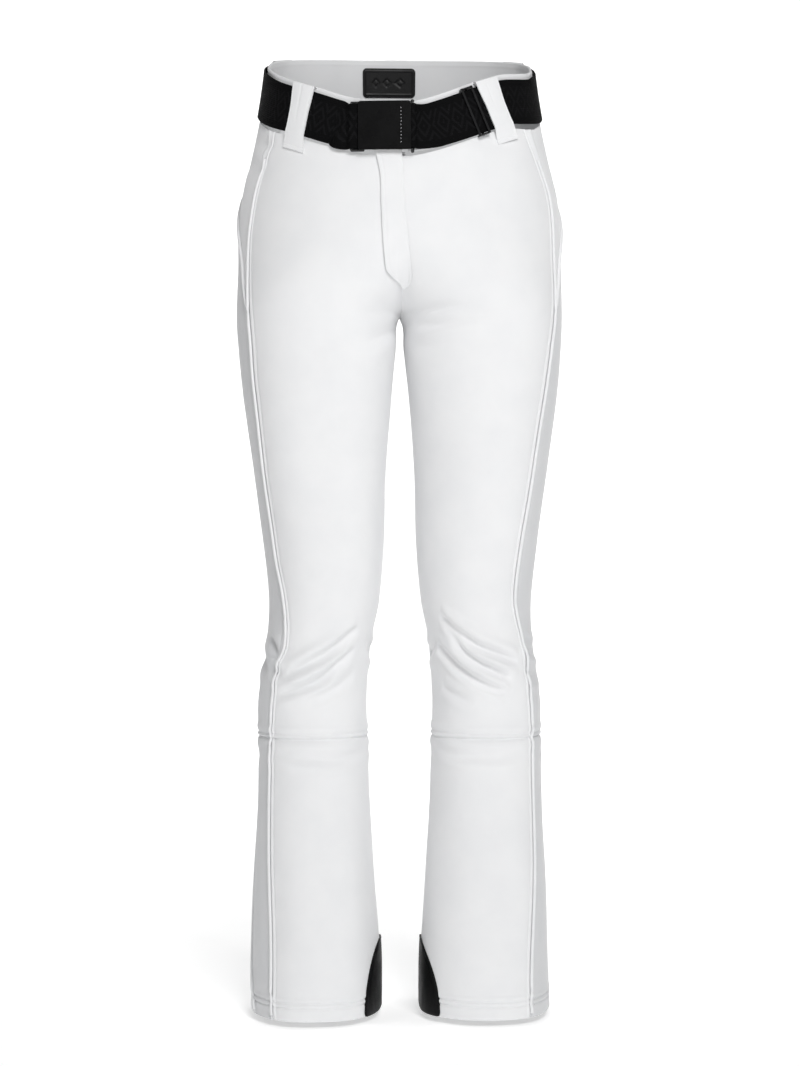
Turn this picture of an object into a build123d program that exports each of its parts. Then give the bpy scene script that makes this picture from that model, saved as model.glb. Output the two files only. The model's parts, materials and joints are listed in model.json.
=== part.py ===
from build123d import *

from math import asin, cos, degrees, radians, sin, sqrt
import os

os.makedirs("parts", exist_ok=True)

# Ski trousers with flared legs, a wide elastic belt and a plate buckle, in millimetres.
# The origin is the centre of the waist opening, level with its edge at the sides. +Z is up, the
# front faces -Y and +X is the wearer's left. Left-hand pieces are mirrored to make the right ones.

# ---------------------------------------------------------------- driving sizes
HEM_Z = -1055
KNEE_SEAM_Z = -755  # the seam round each leg below the knee
THIGH_END_Z = -600  # the bending cloth of the knee runs from here down to that seam
THIGH_TOP_Z = -400
HIP_END_Z = -255  # the hip panels end here and the bending cloth of the groin starts
FABRIC = 1.6  # bonded softshell with its lining
SEAM_GAP = 0.25  # half the gap left between sewn panels
ROUNDNESS = 2.25  # exponent of the cross-sections, where 2 is an ellipse
RIM_TILT = 40.5  # how far the waist's edge rises from the sides to the back
RIM_SAG = -11.8
RIM_DEPTH = 95
BAND_HEIGHT = 56
BAND_THICKNESS = 3
BELT_WIDTH = 50
BELT_THICKNESS = 2.2
BELT_DROP = 28.5  # waist edge to the belt's centre line
BELT_OUT = 1.8 + BELT_THICKNESS / 2  # cloth to the belt's centre line
BELT_LEFT_START = 10  # angles round the waist where the belt leaves the buckle's two sides
BELT_RIGHT_START = -24
LOOP_WIDTH = 26
LOOP_THICKNESS = 1.8
PIPING_RADIUS = 1.6

# One leg's cross-sections, hem to waist: height, inner and outer edge across, front and back depth.
# Above the crotch the inner edge lies past the middle plane, where the two halves are sewn together.
LEG = [
    (-1055, 23, 169, -82, 96),
    (-995, 23.5, 166.5, -78, 95),
    (-905, 29.5, 164.5, -70, 91),
    (-825, 34, 161, -62, 85),
    (-755, 35.6, 159, -59, 77),
    (-710, 37, 159, -62, 72),
    (-645, 33.3, 150, -69, 69),
    (-600, 24, 148, -75, 71),
    (-535, 18, 154, -80, 78),
    (-455, 16, 165, -86, 86),
    (-375, 9.6, 176, -90, 96),
    (-315, 4.3, 181.7, -93, 105),
    (-283, 1.6, 184, -97, 113),
    (-255, -24, 184, -102, 121),
    (-225, -63, 183, -104, 124),
    (-185, -132, 182.5, -105, 125),
    (-145, -168, 178, -105.5, 122),
    (-110, -169, 169, -104, 115),
    (-70, -160, 160, -99, 105),
    (-25, -152, 152, -95, 97),
    (45, -145, 145, -91, 91),
]
# The piped seams of each leg, as angles round the cross-section from its front (0) to its outer
# side (90) and its back (180): the front seam, and the back edge of the side panel.
SEAMS = [
    (-1055, 42, 98),
    (-925, 47, 106),
    (-755, 51.5, 110),
    (-700, 48, 110),
    (-625, 44.5, 110),
    (-555, 49, 110),
    (-487, 53, 110),
    (-396, 54.5, 110),
    (-278, 56.5, 111),
    (-225, 64, 114),
    (-155, 68, 121),
    (-110, 65, 130),
    (-77, 62, 138),
    (45, 50, 156),
]
# How much higher than its plain slope the waist's edge stands in front, by distance across: it dips
# to the buckle, and sits higher on the wearer's left.
RIM_DIP = [
    (-148, 3),
    (-112, 6.5),
    (-60, 2),
    (-14, 0),
    (10, 0.8),
    (26, 3.4),
    (50, 8.7),
    (75, 14.1),
    (95, 17.2),
    (114, 17.4),
    (131, 12.5),
    (148, 5),
]
# The hip yoke's seam, from the front seam below the pocket round to the back of the waistband.
YOKE = [(-272, 57), (-245, 66.7), (-219, 74), (-176, 90), (-120, 109), (-65, 125), (45, 145)]


def curve(stations, z, column):
    """Smooth value at height z of one column of a list of stations."""
    last = len(stations) - 1
    z = min(max(z, stations[0][0]), stations[last][0])
    i = next(k for k in range(last) if z <= stations[k + 1][0])
    before, here, after, beyond = (stations[k] for k in (max(i - 1, 0), i, i + 1, min(i + 2, last)))
    slope_here = (after[column] - before[column]) / (after[0] - before[0])
    slope_after = (beyond[column] - here[column]) / (beyond[0] - here[0])
    step = after[0] - here[0]
    s = (z - here[0]) / step
    return (
        here[column] * (1 + 2 * s) * (1 - s) ** 2
        + slope_here * step * s * (1 - s) ** 2
        + after[column] * s * s * (3 - 2 * s)
        + slope_after * step * s * s * (s - 1)
    )


def leg_shape(z):
    """Centre and half sizes of the left leg's cross-section: centre x, centre y, half x, half y."""
    inner, outer, front, back = (curve(LEG, z, k) for k in (1, 2, 3, 4))
    return (outer + inner) / 2, (front + back) / 2, (outer - inner) / 2, (back - front) / 2


def signed_power(value, power):
    return abs(value) ** power if value >= 0 else -(abs(value) ** power)


def oval_point(shape, z, angle, out):
    """Point of a cross-section at an angle in degrees from the front, moved out by a distance."""
    centre_x, centre_y, half_x, half_y = shape
    power = 2 / ROUNDNESS
    x = centre_x + (half_x + out) * signed_power(sin(radians(angle)), power)
    y = centre_y - (half_y + out) * signed_power(cos(radians(angle)), power)
    return Vector(x, y, z)


def leg_point(z, angle, out=0):
    return oval_point(leg_shape(z), z, angle, out)


def middle_angle(z):
    """Angle from the front at which the cross-section meets the middle plane, or its inner edge."""
    centre_x, _, half_x, _ = leg_shape(z)
    share = max(centre_x, 0) / half_x
    return 90 if share >= 1 else degrees(asin(share ** (ROUNDNESS / 2)))


def inseam_front(z):
    return -middle_angle(z)


def inseam_back(z):
    return 180 + middle_angle(z)


def front_seam(z):
    return curve(SEAMS, z, 1)


def back_seam(z):
    return curve(SEAMS, z, 2)


def yoke_seam(z):
    return curve(YOKE, z, 1)


def rim_height(x, y):
    """Height of the waist's edge: low in front, where it dips to the buckle, and high at the back."""
    share = min(max((15 - y) / 60, 0), 1)
    front = share * share * (3 - 2 * share)
    slope = RIM_TILT * y / RIM_DEPTH + RIM_SAG * (y / RIM_DEPTH) ** 2
    return slope + front * curve(RIM_DIP, min(max(x, -148), 148), 1)


def levels(low, high, step):
    count = max(2, round((high - low) / step) + 1)
    return [low + (high - low) * k / (count - 1) for k in range(count)]


def finish(shape, name):
    """Labels a finished piece and writes its file."""
    shape.label = name
    export_step(shape, f"parts/{name}.step")


def finish_pair(shape, name):
    """Writes a left-hand piece, and its mirror image as the right-hand one."""
    finish(shape, f"{name}_left")
    with BuildPart() as other:
        add(mirror(shape, about=Plane.YZ))
    finish(other.part, f"{name}_right")


# ---------------------------------------------------------------- cloth panels and sleeves
def strip_face(outer_points, inner_points, plane):
    """Cross-section of a curved strip of cloth, drawn at the height of a plane."""
    with BuildSketch(plane) as section:
        with BuildLine():
            outer = Spline([plane.to_local_coords(p) for p in outer_points])
            inner = Spline([plane.to_local_coords(p) for p in inner_points])
            Line(outer @ 0, inner @ 0)
            Line(outer @ 1, inner @ 1)
        make_face()
    return section.sketch


def cloth_section(z, first, last, outside=0, inside=-FABRIC):
    """Cross-section of the cloth between two angles."""
    angles = [first + (last - first) * k / 12 for k in range(13)]
    outer = [leg_point(z, a, outside) for a in angles]
    inner = [leg_point(z, a, inside) for a in angles]
    return strip_face(outer, inner, Plane.XY.offset(z))


def panel(low, high, first_seam, last_seam, step):
    """A sewn panel of the left leg between two heights and two seams, each a function of height."""
    sections = []
    for z in levels(low, high, step):
        _, _, half_x, half_y = leg_shape(z)
        gap = degrees(SEAM_GAP / min(half_x, half_y))
        sections.append(cloth_section(z, first_seam(z) + gap, last_seam(z) - gap))
    with BuildPart() as made:
        loft(sections)
    return made


def lower_edge(x, y):
    """Height just under the waistband, which reaches lower where its edge slopes, at the sides."""
    return rim_height(x, y) - BAND_HEIGHT - 1.8 - 3 * max(0, 1 - (y / RIM_DEPTH) ** 2)


def below_waistband():
    """Everything that lies under the waistband's lower edge."""
    faces = []
    for x in (-260, -180, *range(-150, 151, 20), 180, 260):
        with BuildSketch(Plane.YZ.offset(x)) as section:
            with BuildLine():
                ys = (-150, -95, -70, -45, -20, 0, 20, 45, 95, 150)
                edge = Spline([(y, lower_edge(x, y)) for y in ys])
                Polyline(edge @ 1, (150, -700), (-150, -700), edge @ 0)
            make_face()
        faces.append(section.sketch)
    with BuildPart() as space:
        loft(faces)
    return space.part


def full_section(z, out):
    """One leg's whole cross-section as a face."""
    with BuildSketch(Plane.XY.offset(z)) as section:
        with BuildLine():
            points = [leg_point(z, 15 * k + 7, out) for k in range(24)]
            Spline([(p.X, p.Y) for p in points], periodic=True)
        make_face()
    return section.sketch


def tube(low, high, step, outside=0, inside=-FABRIC):
    """A closed tube of cloth round the leg between two heights."""
    with BuildPart() as core:
        loft([full_section(z, inside) for z in levels(low - 1, high + 1, step)])
    with BuildPart() as made:
        loft([full_section(z, outside) for z in levels(low, high, step)])
        add(core.part, mode=Mode.SUBTRACT)
    return made


under_band = below_waistband()
hip_seams = {
    "front_hip_panel": (inseam_front, front_seam),
    "pocket_hip_panel": (front_seam, yoke_seam),
    "side_hip_panel": (yoke_seam, back_seam),
    "back_hip_panel": (back_seam, inseam_back),
}
for panel_name, (first, last) in hip_seams.items():
    uncut = panel(HIP_END_Z, 25, first, last, 28).part
    for side in ("left", "right"):
        with BuildPart() as hip_panel:
            add(uncut if side == "left" else mirror(uncut, about=Plane.YZ))
            add(under_band, mode=Mode.INTERSECT)
            if (panel_name, side) == ("front_hip_panel", "right"):  # the zip's slot
                with Locations((-7, -100, -139)):
                    Box(17, 60, 128, mode=Mode.SUBTRACT)
        finish(hip_panel.part, f"{panel_name}_{side}")

leg_seams = {
    "front": (inseam_front, front_seam),
    "side": (front_seam, back_seam),
    "back": (back_seam, inseam_back),
}
for place, (first, last) in leg_seams.items():
    finish_pair(panel(THIGH_END_Z, THIGH_TOP_Z, first, last, 50).part, f"{place}_thigh_panel")
    finish_pair(panel(HEM_Z, KNEE_SEAM_Z, first, last, 60).part, f"{place}_shin_panel")

finish_pair(tube(KNEE_SEAM_Z + 0.4, THIGH_END_Z - 0.4, 31).part, "knee_sleeve")
with tube(THIGH_TOP_Z + 0.4, HIP_END_Z - 0.4, 18) as groin:
    with Locations((150.4, 0, -320)):
        Box(300, 400, 400, mode=Mode.INTERSECT)
finish_pair(groin.part, "groin_sleeve")
finish_pair(tube(HEM_Z, HEM_Z + 24, 24, -2.4, -3.4).part, "hem_facing")


# ---------------------------------------------------------------- piping
def piping_cord(low, high, seam):
    """A round cord of piping laid on the cloth along a seam."""
    points = [leg_point(z, seam(z), PIPING_RADIUS + 0.5) for z in levels(low, high, 34)]
    with BuildLine():
        path = Spline(points)
    sections = []
    for k in range(len(points)):
        t = k / (len(points) - 1)
        with BuildSketch(Plane(path @ t, x_dir=(1, 0, 0), z_dir=path % t)) as section:
            Circle(PIPING_RADIUS)
        sections.append(section.sketch)
    with BuildPart() as made:
        loft(sections)
    return made.part


cords = {
    "hip_piping": ((HIP_END_Z + 2, -122, front_seam), (HIP_END_Z + 24, -68, yoke_seam)),
    "thigh_piping": (
        (THIGH_END_Z + 2, THIGH_TOP_Z - 2, front_seam),
        (THIGH_END_Z + 2, THIGH_TOP_Z - 2, back_seam),
    ),
    "shin_piping": (
        (HEM_Z + 2, KNEE_SEAM_Z - 2, front_seam),
        (HEM_Z + 2, KNEE_SEAM_Z - 2, back_seam),
    ),
}
for cord_name, runs in cords.items():
    with BuildPart() as cord:
        for low, high, seam in runs:
            add(piping_cord(low, high, seam))
    finish_pair(cord.part, cord_name)

# ---------------------------------------------------------------- scuff guard, gaiter, elastic
GUARD_HEIGHT = 76
GUARD_REACH = 44  # half the guard's width at the hem, as an angle from the inseam
with BuildPart() as guard:
    guard_sections = []
    for z in levels(HEM_Z, HEM_Z + GUARD_HEIGHT, 11):
        share = (z - HEM_Z) / GUARD_HEIGHT
        reach = GUARD_REACH * sqrt(max(1 - share**2, 0.012))
        guard_sections.append(cloth_section(z, -90 - reach, -90 + reach, 1.7, 0.7))
    loft(guard_sections)
finish_pair(guard.part, "scuff_guard")

GAITER = [(HEM_Z + 15, -17), (HEM_Z + 90, -13), (HEM_Z + 160, -8), (HEM_Z + 215, -3.4)]
with BuildPart() as gaiter_inside:
    loft([full_section(z, out - 1) for z, out in GAITER])
with BuildPart() as gaiter:
    loft([full_section(z, out) for z, out in GAITER])
    add(gaiter_inside.part, mode=Mode.SUBTRACT)
finish_pair(gaiter.part, "snow_gaiter")

elastic_ends = [(HEM_Z + 17, -16.4), (HEM_Z + 42, -14.9)]
with BuildPart() as elastic_inside:
    loft([full_section(z, out) for z, out in elastic_ends])
with BuildPart() as elastic:
    loft([full_section(z, out + 1.6) for z, out in elastic_ends])
    add(elastic_inside.part, mode=Mode.SUBTRACT)
finish_pair(elastic.part, "gaiter_elastic")


# ---------------------------------------------------------------- waistband
def ring_point(theta, drop, out):
    """Point at an angle round the waist, a drop below its edge; 0 is the front, 90 the left."""
    z = -drop
    for _ in range(6):
        _, outer, front, back = (curve(LEG, z, k) for k in (1, 2, 3, 4))
        point = oval_point((0, (front + back) / 2, outer, (back - front) / 2), z, theta, out)
        z = rim_height(point.X, point.Y) - drop
    return Vector(point.X, point.Y, z)


def ring_plane(theta, drop, out):
    """Plane across a band round the waist: local X points out of the cloth, local Y up the band."""
    before, after = (ring_point(theta + turn, drop, out) for turn in (-1.5, 1.5))
    lower, upper = (ring_point(theta, drop + lift, out) for lift in (20, -20))
    outward = (after - before).cross(upper - lower).normalized()
    return Plane(ring_point(theta, drop, out), x_dir=outward, z_dir=(before - after).normalized())


def ring_band(first, last, drop, out, thickness, height, count):
    """A flat band round part of the waist, lofted through upright cross-sections."""
    sections = []
    for k in range(count):
        theta = first + (last - first) * k / (count - 1)
        with BuildSketch(ring_plane(theta, drop, out)) as section:
            Rectangle(thickness, height)
        sections.append(section.sketch)
    with BuildPart() as made:
        loft(sections)
    return made.part


band = (BAND_HEIGHT / 2, -BAND_THICKNESS / 2, BAND_THICKNESS, BAND_HEIGHT)
finish(ring_band(0.4, 89.6, *band, 19), "waistband_front_left")
finish(ring_band(-0.4, -89.6, *band, 19), "waistband_front_right")
finish(ring_band(90.4, 269.6, *band, 17), "waistband_back")
finish(ring_band(173.2, 193.4, 26, -BAND_THICKNESS - 0.9, 1, 34, 5), "inner_label")

# ---------------------------------------------------------------- buckle
# Built about the buckle's own centre, which leans back with the belly and turns to follow it.
BUCKLE = Location((-24, -103.6, -83), (-6.6, 0, -3.9))
BAR_X = 33  # hinge bar of the buckle's plate
FOLD_X = -33  # wire of the catch loop that the belt's other end is folded round
CATCH_X = -20.7  # wire of the catch loop that the plate hooks over
WIRE_RADIUS = 1.5
FOLD_RADIUS = 3.9
STRAP_WIDTH = BELT_WIDTH - 1
EAR_Z = STRAP_WIDTH / 2 + 1.4
LOOP_Z = STRAP_WIDTH / 2 + WIRE_RADIUS + 0.4
PLATE_Y = -5.2

with BuildPart() as hinge_bar:
    with Locations(BUCKLE):
        with Locations((BAR_X, 0, 0)):
            Cylinder(WIRE_RADIUS, 2 * EAR_Z + 4)
        with Locations((BAR_X, 0, EAR_Z + 2), (BAR_X, 0, -EAR_Z - 2)):
            Sphere(2)
finish(hinge_bar.part, "buckle_hinge_bar")

with BuildPart() as catch_loop:
    with Locations(BUCKLE):
        with Locations((CATCH_X, 0, 0), (FOLD_X, 0, 0)):
            Cylinder(WIRE_RADIUS, 2 * LOOP_Z)
        with Locations(((CATCH_X + FOLD_X) / 2, 0, LOOP_Z), ((CATCH_X + FOLD_X) / 2, 0, -LOOP_Z)):
            Cylinder(WIRE_RADIUS, CATCH_X - FOLD_X, rotation=(0, 90, 0))
        with Locations(*[(x, 0, z) for x in (CATCH_X, FOLD_X) for z in (LOOP_Z, -LOOP_Z)]):
            Sphere(WIRE_RADIUS)
finish(catch_loop.part, "catch_loop")

with BuildPart() as plate:
    with Locations(BUCKLE):
        with Locations((2.8, PLATE_Y, 0)):
            Box(57.6, 1.6, 54)
        with Locations((BAR_X - 2, PLATE_Y / 2, EAR_Z), (BAR_X - 2, PLATE_Y / 2, -EAR_Z)):
            Box(4, -PLATE_Y, 1.4)
        with Locations((BAR_X, 0, EAR_Z), (BAR_X, 0, -EAR_Z)):
            Cylinder(2.6, 1.4)
            Cylinder(WIRE_RADIUS + 0.1, 4, mode=Mode.SUBTRACT)
        with Locations((CATCH_X - 2.8, -1.5, 0), (CATCH_X + 2.8, -1.5, 0)):
            Box(1.2, 6.4, 40)
    upright = plate.edges().filter_by(GeomType.LINE)
    fillet([e for e in upright if abs(e.length - 1.6) < 0.01], 3)
finish(plate.part, "buckle_plate")

with BuildPart() as studs:
    with Locations(BUCKLE):
        with Locations(*[(20.7, PLATE_Y - 0.8, 3.8 * k) for k in range(-5, 6)]):
            Sphere(0.9)
    add(plate.part, mode=Mode.SUBTRACT)
finish(studs.part, "buckle_studs")


# ---------------------------------------------------------------- belt
def strap(wire_x, theta, name, gap):
    """A belt end: folded round a wire of the buckle, then straight to where the belt curves."""
    wire = BUCKLE * Location((wire_x, 0, 0))
    across = Plane(wire)
    start = Plane(wire.position, x_dir=-across.y_dir, z_dir=-across.x_dir)
    joint = ring_plane(theta, BELT_DROP, BELT_OUT).offset(gap)
    ends = []
    for plane in (start, joint):
        with BuildSketch(plane) as section:
            Rectangle(BELT_THICKNESS, STRAP_WIDTH)
        ends.append(section.sketch)
    with BuildPart() as made:
        loft(ends, ruled=True)
        with Locations(wire):
            Cylinder(FOLD_RADIUS, STRAP_WIDTH)
            Cylinder(WIRE_RADIUS + 0.2, STRAP_WIDTH + 4, mode=Mode.SUBTRACT)
    finish(made.part, name)


strap(BAR_X, BELT_LEFT_START, "belt_end_left", 0.3)
strap(FOLD_X, BELT_RIGHT_START, "belt_end_right", -0.3)
around = (BELT_LEFT_START, 360 + BELT_RIGHT_START, BELT_DROP, BELT_OUT, BELT_THICKNESS, BELT_WIDTH)
finish(ring_band(*around, 65), "belt_webbing")

# Slide adjuster: two bars over the belt and a thin one behind it, joined past the belt's edges.
ADJUSTER_ANGLE = 26
RAIL = BELT_WIDTH / 2 + 1.8
with BuildPart() as adjuster:
    place = ring_plane(ADJUSTER_ANGLE, BELT_DROP, BELT_OUT)
    for along in (-6, 6):
        with BuildSketch(place.offset(along)):
            with Locations((2.8, 0)):
                Rectangle(1.8, 2 * RAIL + 2)
        extrude(amount=1.2, both=True)
    with BuildSketch(place):
        with Locations((-1.85, 0)):
            Rectangle(0.6, 2 * RAIL + 2)
    extrude(amount=1.5, both=True)
    with BuildSketch(place.offset(-7.2)):
        with Locations((0.775, RAIL), (0.775, -RAIL)):
            Rectangle(5.85, 1.6)
    extrude(amount=14.4)
finish(adjuster.part, "belt_adjuster")


# ---------------------------------------------------------------- belt loops
def belt_loop(theta, foot):
    """A flat strip over the belt, sewn down above it and, a foot's distance out, below it."""
    face = BELT_OUT + BELT_THICKNESS / 2 + 0.7
    back = face + LOOP_THICKNESS
    top, bottom = BELT_DROP - 0.8, -BELT_WIDTH / 2 - 18
    with BuildPart() as made:
        with BuildSketch(ring_plane(theta, BELT_DROP, 0)):
            with BuildLine():
                Polyline(
                    (0.7, top),
                    (back, top),
                    (back, bottom + 6),
                    (LOOP_THICKNESS + foot, bottom),
                    (foot, bottom),
                    (face, bottom + 9),
                    (face, top - LOOP_THICKNESS),
                    (0.7, top - LOOP_THICKNESS),
                    close=True,
                )
            make_face()
        extrude(amount=LOOP_WIDTH / 2, both=True)
    return made.part


LOOPS = {"front": ((36.4, -42.3), 1.3), "side": ((122, -122), 3.4), "back": ((180,), 3.4)}
for loops_name, (angles, foot) in LOOPS.items():
    with BuildPart() as loops:
        for theta in angles:
            add(belt_loop(theta, foot))
    finish(loops.part, f"{loops_name}_belt_loops")

# ---------------------------------------------------------------- fly
ZIP_X = -8
ZIP_TOP_Z = -116
ZIP_END_Z = -200
ZIP_DEPTH = 5  # cloth's outer face to the zip's middle plane
FLAP = [  # height, left edge and right edge across
    (-254, -3, 5),
    (-247, -10, 8.5),
    (-238, -18, 8),
    (-207, -21.5, 4.5),
    (-166, -24, 1),
    (-137, -24.5, -0.5),
    (-109.6, -28.5, -2),
]


def fly_y(x, z):
    """Depth of the cloth's outer face near the middle of the front."""
    centre_x, centre_y, half_x, half_y = leg_shape(z)
    share = min(abs(max(abs(x), 6) - centre_x) / half_x, 1)
    return centre_y - half_y * (1 - share**ROUNDNESS) ** (1 / ROUNDNESS)


def fly_strip(low, high, step, gap, widen=0):
    """A strip of cloth along the fly, a gap in front of the hip panels' outer face."""
    sections = []
    for z in levels(low, high, step):
        left, right = curve(FLAP, z, 1) - widen, curve(FLAP, z, 2) + widen
        xs = [left + (right - left) * k / 6 for k in range(7)]
        outer = [Vector(x, fly_y(x, z) - gap - FABRIC, z) for x in xs]
        inner = [Vector(x, fly_y(x, z) - gap, z) for x in xs]
        sections.append(strip_face(outer, inner, Plane.XY.offset(z)))
    with BuildPart() as made:
        loft(sections)
    return made.part


finish(fly_strip(-254, -109.6, 12, 1.2), "fly_flap")
finish(fly_strip(-204, -114, 30, -14, widen=6), "fly_underlap")

zip_bottom = Vector(ZIP_X, fly_y(ZIP_X, ZIP_END_Z) + ZIP_DEPTH, ZIP_END_Z)
zip_top = Vector(ZIP_X, fly_y(ZIP_X, ZIP_TOP_Z) + ZIP_DEPTH, ZIP_TOP_Z)
zip_length = (zip_top - zip_bottom).length
zip_up = (zip_top - zip_bottom).normalized()
zip_plane = Plane(zip_bottom, x_dir=(1, 0, 0), z_dir=Vector(1, 0, 0).cross(zip_up))
SLIDER_AT = zip_length - 10
TOOTH_GAP = 0.45  # half the slit between the rows of teeth, where the slider's post runs


def zip_bars(low, thickness, x, y, width, height):
    """Flat bars on both sides of the zip's centre line."""
    with BuildSketch(zip_plane.offset(low)) as bars:
        with Locations((x, y), (-x, y)):
            Rectangle(width, height)
    extrude(bars.sketch, amount=thickness)


with BuildPart() as zip_tape:
    zip_bars(-0.4, 0.8, 5.2, zip_length / 2 + 3, 8.4, zip_length + 6)
finish(zip_tape.part, "fly_zip_tape")

with BuildPart() as zip_teeth:
    for face in (0.4, -1.2):
        zip_bars(face, 0.8, TOOTH_GAP + 1, zip_length / 2, 2, zip_length - 6)
finish(zip_teeth.part, "fly_zip_teeth")

with BuildPart() as zip_slider:
    for face in (1.4, -2.6):
        with BuildSketch(zip_plane.offset(face)):
            with Locations((0, SLIDER_AT)):
                RectangleRounded(9, 11, 2)
        extrude(amount=1.2)
    with BuildSketch(zip_plane.offset(-2)):
        with Locations((0, SLIDER_AT + 3)):
            Rectangle(0.5, 4)
    extrude(amount=4)
    with BuildSketch(zip_plane.offset(2.5)):
        with Locations((0, SLIDER_AT + 2.6), (0, SLIDER_AT - 2.6)):
            Rectangle(2.2, 1.4)
    extrude(amount=1.5)
    with BuildSketch(zip_plane.offset(3.9)):
        with Locations((0, SLIDER_AT)):
            Rectangle(2.2, 6.6)
    extrude(amount=0.8)
finish(zip_slider.part, "fly_zip_slider")

with BuildPart() as zip_pull:
    with BuildSketch(zip_plane.offset(2.8)):
        with Locations((0, SLIDER_AT - 7.1)):
            RectangleRounded(6, 18, 1.6)
        with Locations((0, SLIDER_AT - 2.3)):
            Rectangle(3, 4, mode=Mode.SUBTRACT)
    extrude(amount=0.9)
finish(zip_pull.part, "fly_zip_pull")
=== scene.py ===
"""Looks of the ski trousers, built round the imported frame. Cloth shapes are worked out in millimetres."""

import json
from math import atan, cos, pi, radians, sin

import bmesh
import bpy
import numpy as np
from mathutils import Matrix, Vector


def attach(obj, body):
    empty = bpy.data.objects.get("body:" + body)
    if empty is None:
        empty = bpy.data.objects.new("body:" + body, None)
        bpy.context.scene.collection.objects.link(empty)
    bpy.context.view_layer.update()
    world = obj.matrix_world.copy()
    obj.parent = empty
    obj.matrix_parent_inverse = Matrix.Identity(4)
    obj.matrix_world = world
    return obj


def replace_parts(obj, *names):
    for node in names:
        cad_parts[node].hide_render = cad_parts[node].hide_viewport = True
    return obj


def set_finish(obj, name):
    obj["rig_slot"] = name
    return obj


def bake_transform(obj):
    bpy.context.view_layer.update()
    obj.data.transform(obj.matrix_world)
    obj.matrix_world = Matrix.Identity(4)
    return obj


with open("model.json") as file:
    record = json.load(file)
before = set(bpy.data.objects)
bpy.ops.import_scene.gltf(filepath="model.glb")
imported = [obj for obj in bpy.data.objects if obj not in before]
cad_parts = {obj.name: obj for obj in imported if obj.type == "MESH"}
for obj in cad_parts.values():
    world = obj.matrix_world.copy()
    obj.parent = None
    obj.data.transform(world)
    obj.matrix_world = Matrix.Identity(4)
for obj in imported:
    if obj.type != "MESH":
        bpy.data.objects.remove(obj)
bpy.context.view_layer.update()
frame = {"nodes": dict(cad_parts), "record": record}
nodes = frame["nodes"]
scene = bpy.context.scene

# ------------------------------------------------------------------ camera
TURN = radians(-2.5)
DISTANCE = 2.6
EYE_HEIGHT = -0.524
HALF_VIEW = atan(533 / 2301)  # half the picture's height over the distance to it, in the same unit
camera_data = bpy.data.cameras.new("camera")
camera_data.sensor_fit = "VERTICAL"
camera_data.angle = 2 * HALF_VIEW
camera = bpy.data.objects.new("camera", camera_data)
camera.location = (sin(TURN) * DISTANCE, -cos(TURN) * DISTANCE, EYE_HEIGHT)
camera.rotation_euler = (pi / 2, 0, TURN)
scene.collection.objects.link(camera)
scene.camera = camera

# ------------------------------------------------------------------ the garment's shape
# Cross-sections of the left leg: height, inner and outer edge across, front and back depth.
LEG = [
    (-1070, 23, 169.3, -82.5, 96),
    (-1055, 23, 169, -82, 96),
    (-995, 23.5, 166.5, -78, 95),
    (-905, 29.5, 164.5, -70, 91),
    (-825, 34, 161, -62, 85),
    (-755, 35.6, 159, -59, 77),
    (-710, 37, 159, -62, 72),
    (-645, 33.3, 150, -69, 69),
    (-600, 24, 148, -75, 71),
    (-535, 18, 154, -80, 78),
    (-455, 16, 165, -86, 86),
    (-375, 9.6, 176, -90, 96),
    (-315, 4.3, 181.7, -93, 105),
    (-283, 1.6, 184, -97, 113),
    (-255, -24, 184, -102, 121),
    (-225, -63, 183, -104, 124),
    (-185, -132, 182.5, -105, 125),
    (-145, -168, 178, -105.5, 122),
    (-110, -169, 169, -104, 115),
    (-70, -160, 160, -99, 105),
    (-25, -152, 152, -95, 97),
    (45, -145, 145, -91, 91),
]
# Front seam as height and angle from the front, for the wearer's left and right leg, and the seam
# at the back of the side panel, which swings forward at the right hem.
FRONT_SEAM = {
    1: [(-1070, 36), (-1040, 37), (-931, 43), (-800, 48.5), (-745, 48.4), (-708, 45.5), (-656, 46.5),
        (-620, 39.5), (-599, 36), (-554, 38), (-488, 42), (-398, 47), (-323, 53), (-266, 57),
        (-219, 61), (-161, 64.5), (-117, 61.5), (-75, 56), (40, 50)],
    -1: [(-1070, 36), (-1041, 40), (-908, 45.5), (-798, 48.7), (-751, 48.5), (-707, 45.6), (-673, 45.5),
         (-648, 37.5), (-596, 44.5), (-554, 52.5), (-488, 54.5), (-399, 53.5), (-350, 54.5),
         (-284, 55), (-213, 62.5), (-162, 63.2), (-119, 61.6), (-87, 59.3), (40, 52)],
}
BACK_SEAM = {
    1: [(-1070, 98), (-925, 106), (-755, 110), (-396, 110), (-278, 111), (-225, 114), (-155, 121),
        (-110, 130), (-77, 138), (45, 156)],
    -1: [(-1070, 62), (-1045, 70), (-1020, 84), (-985, 96), (-925, 104), (-755, 110), (-396, 110),
         (-278, 111), (-225, 114), (-155, 121), (-110, 130), (-77, 138), (45, 156)],
}
YOKE = [(-276, 57), (-245, 65.5), (-219, 71.5), (-176, 85), (-120, 106), (-65, 125), (45, 145)]
ROUND = 2.25  # exponent of the sections' ovals: 2 is an ellipse
RIM_DEPTH = 95
# Across, and how far the front of the waist's edge stands above its plain slope there.
RIM_DIP = [
    (-148, 3), (-112, 6.5), (-60, 2), (-14, 0), (10, 0.8), (26, 3.4), (50, 8.7), (75, 14.1), (95, 17.2),
    (114, 17.4), (131, 12.5), (148, 5),
]
BAND = 56  # waistband's height
BELT_DROP = 28.5  # belt's middle below the waist's edge
HEM = -1055
HEM_DIP = 4  # how much lower the hem is at the heel side


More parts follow.
